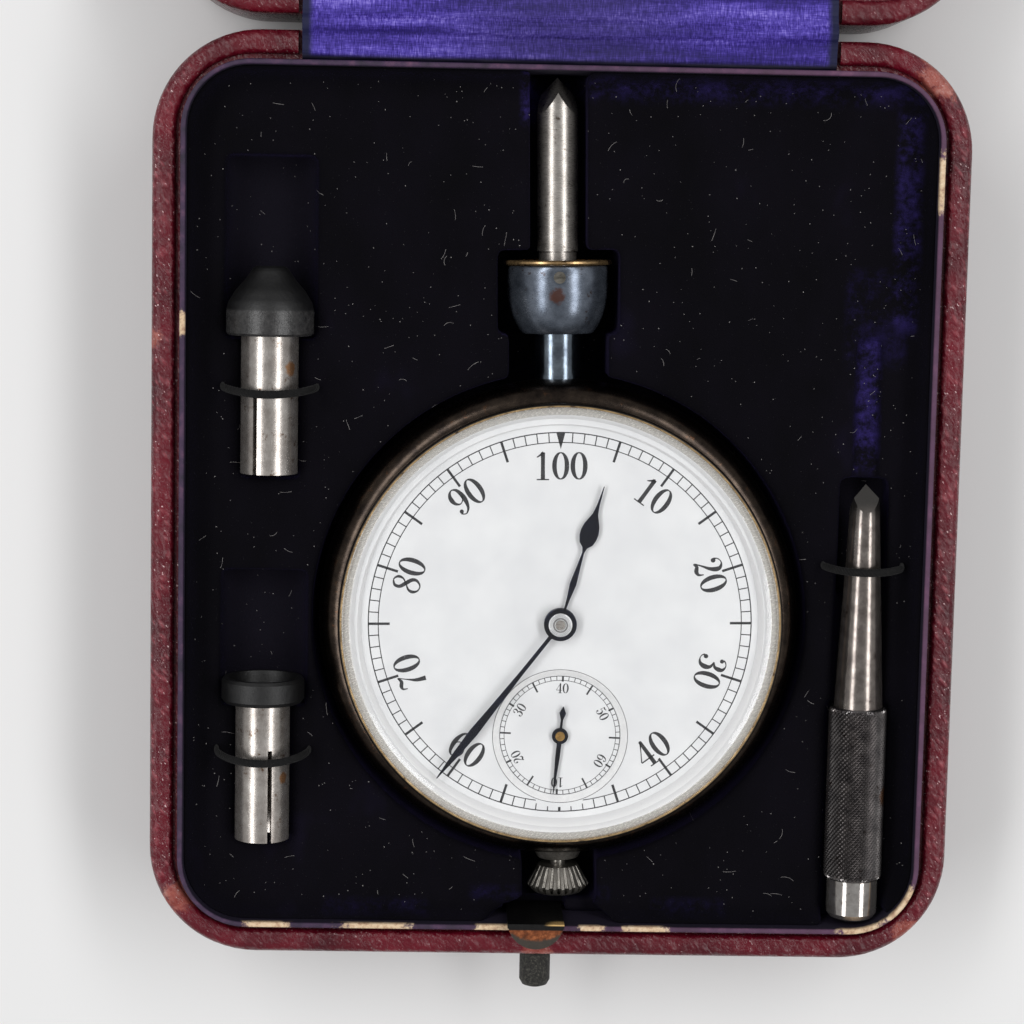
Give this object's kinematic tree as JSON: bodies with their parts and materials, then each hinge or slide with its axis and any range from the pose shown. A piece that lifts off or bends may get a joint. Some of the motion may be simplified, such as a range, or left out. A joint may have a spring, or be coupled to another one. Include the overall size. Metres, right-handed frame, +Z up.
{
  "type": "revolution counter in fitted case",
  "caption": "Hand-held revolution counter: watch-shaped case with two centre hands and a small register, pointed spindle, in a velvet-lined hinged case with rubber-tipped adapters and a probe",
  "frame": {"origin": "middle of the underside of the base tray, on the surface that it rests on", "axes": "+Y from the push latch to the hinge and the opened lid, +Z up, +X to the right of the dial"},
  "size_m": [0.102, 0.2408, 0.0216],
  "materials": {
    "leatherette": "pebbled maroon leathercloth over thin wood, rubbed orange at the corners",
    "card_lip": "card lip covered in purple paper, worn to cream at the edge",
    "velvet": "dark purple velvet",
    "satin": "blue-violet satin ribbon",
    "elastic": "thin black covered elastic",
    "brass": "brass, dulled",
    "gilt": "gilt brass, bright",
    "blued_steel": "oil-blacked steel, satin",
    "blue_hands": "blued spring steel",
    "bright_steel": "turned and polished steel",
    "nickel": "worn nickel plate",
    "enamel": "white vitreous enamel with black figures",
    "crystal": "bevelled flat glass",
    "black_rubber": "moulded black rubber",
    "button_black": "blackened metal, rubbed"
  },
  "bodies": {
    "case": {"base_shell": "leatherette", "base_lip": "card_lip", "velvet_pad": "velvet", "elastic_loop_cone": "elastic", "elastic_loop_cup": "elastic", "elastic_loop_probe": "elastic", "hinge_leaf_base": "brass", "hinge_pin": "brass", "satin_strip_base": "satin"},
    "lid": {"lid_shell": "leatherette", "lid_cushion": "velvet", "keeper_plate": "brass", "hinge_leaf_lid": "brass", "satin_strip_lid": "satin"},
    "latch": {"latch_button": "button_black", "latch_catch": "brass"},
    "counter": {"back_cover": "blued_steel", "case_band": "blued_steel", "bezel": "gilt", "crystal": "crystal", "dial": "enamel", "sub_dial": "enamel", "main_plate": "brass", "back_plate": "brass", "plate_pillars": "brass", "plate_screws": "bright_steel", "neck_tube": "blued_steel", "front_bush": "brass", "collar_cup": "blued_steel", "collar_ring": "gilt", "collar_screw": "bright_steel", "end_bearing": "brass", "thrust_ball": "bright_steel", "stem_bush": "brass"},
    "spindle": {"spindle_shaft": "bright_steel", "worm": "bright_steel"},
    "first_wheel": {"worm_wheel": "brass", "first_arbor": "bright_steel"},
    "count_train": {"centre_arbor": "bright_steel", "centre_wheel": "brass", "count_hand": "blue_hands", "hand_cap": "bright_steel"},
    "reduction": {"reduction_wheel": "brass", "reduction_arbor": "bright_steel"},
    "register": {"register_wheel": "brass", "small_hand": "blue_hands"},
    "idler": {"idler_wheel": "brass"},
    "hundreds": {"hundreds_wheel": "brass", "hundreds_hand": "blue_hands"},
    "crown_set": {"crown": "nickel", "crown_stem": "bright_steel"},
    "cone_tip": {"cone_sleeve": "bright_steel", "cone_rubber": "black_rubber"},
    "cup_tip": {"cup_sleeve": "bright_steel", "cup_rubber": "black_rubber"},
    "probe": {"probe_rod": "bright_steel", "probe_grip": "blued_steel", "probe_end": "bright_steel"}
  },
  "joints": [
    {"name": "lid_hinge", "type": "hinge", "parent": "case", "child": "lid", "pos_m": [0, 0.0593, 0.01815], "axis": [-1, 0, 0], "range_deg": [-180, 0]},
    {"name": "latch_push", "type": "slide", "parent": "case", "child": "latch", "axis": [0, 1, 0], "range_m": [0, 0.00065], "stiffness_N_per_m": 800, "springref_m": -0.001},
    {"name": "counter_lift", "type": "slide", "parent": "case", "child": "counter", "axis": [0, 0, 1], "range_m": [0, 0.04]},
    {"name": "spindle_spin", "type": "hinge", "parent": "counter", "child": "spindle", "pos_m": [-0.00024, 0.03029, 0.011], "axis": [-0.0218, 0.9998, 0], "continuous": true},
    {"name": "first_wheel_spin", "type": "hinge", "parent": "counter", "child": "first_wheel", "pos_m": [0.00757, -0.00663, 0.01], "axis": [0, 0, 1], "continuous": true},
    {"name": "count_hand_turn", "type": "hinge", "parent": "counter", "child": "count_train", "pos_m": [0.00075, -0.015, 0.01], "axis": [0, 0, 1], "continuous": true},
    {"name": "reduction_spin", "type": "hinge", "parent": "counter", "child": "reduction", "pos_m": [-0.00782, -0.02158, 0.01], "axis": [0, 0, 1], "continuous": true},
    {"name": "small_hand_turn", "type": "hinge", "parent": "counter", "child": "register", "pos_m": [0.00107, -0.0295, 0.01], "axis": [0, 0, 1], "continuous": true},
    {"name": "idler_spin", "type": "hinge", "parent": "counter", "child": "idler", "pos_m": [-0.01082, -0.00865, 0.01], "axis": [0, 0, 1], "continuous": true},
    {"name": "hundreds_hand_turn", "type": "hinge", "parent": "counter", "child": "hundreds", "pos_m": [0.00075, -0.015, 0.01], "axis": [0, 0, 1], "continuous": true},
    {"name": "crown_turn", "type": "hinge", "parent": "counter", "child": "crown_set", "pos_m": [0.00151, -0.04969, 0.011], "axis": [-0.0218, 0.9998, 0], "continuous": true},
    {"name": "cone_tip_slide", "type": "slide", "parent": "case", "child": "cone_tip", "axis": [0, 1, 0], "range_m": [0, 0.0128]},
    {"name": "cup_tip_slide", "type": "slide", "parent": "case", "child": "cup_tip", "axis": [0, 1, 0], "range_m": [0, 0.0128]},
    {"name": "probe_tilt", "type": "hinge", "parent": "case", "child": "probe", "pos_m": [0.0393, -0.0076, 0.016], "axis": [-1, 0, 0], "range_deg": [0, 18]}
  ],
  "couplings": [
    {"joint": "first_wheel_spin", "follows": "spindle_spin", "ratio": 0.05},
    {"joint": "count_hand_turn", "follows": "spindle_spin", "ratio": -0.01},
    {"joint": "reduction_spin", "follows": "spindle_spin", "ratio": 0.00125},
    {"joint": "small_hand_turn", "follows": "spindle_spin", "ratio": -0.00016667},
    {"joint": "idler_spin", "follows": "spindle_spin", "ratio": 0.001},
    {"joint": "hundreds_hand_turn", "follows": "spindle_spin", "ratio": -0.0001}
  ]
}
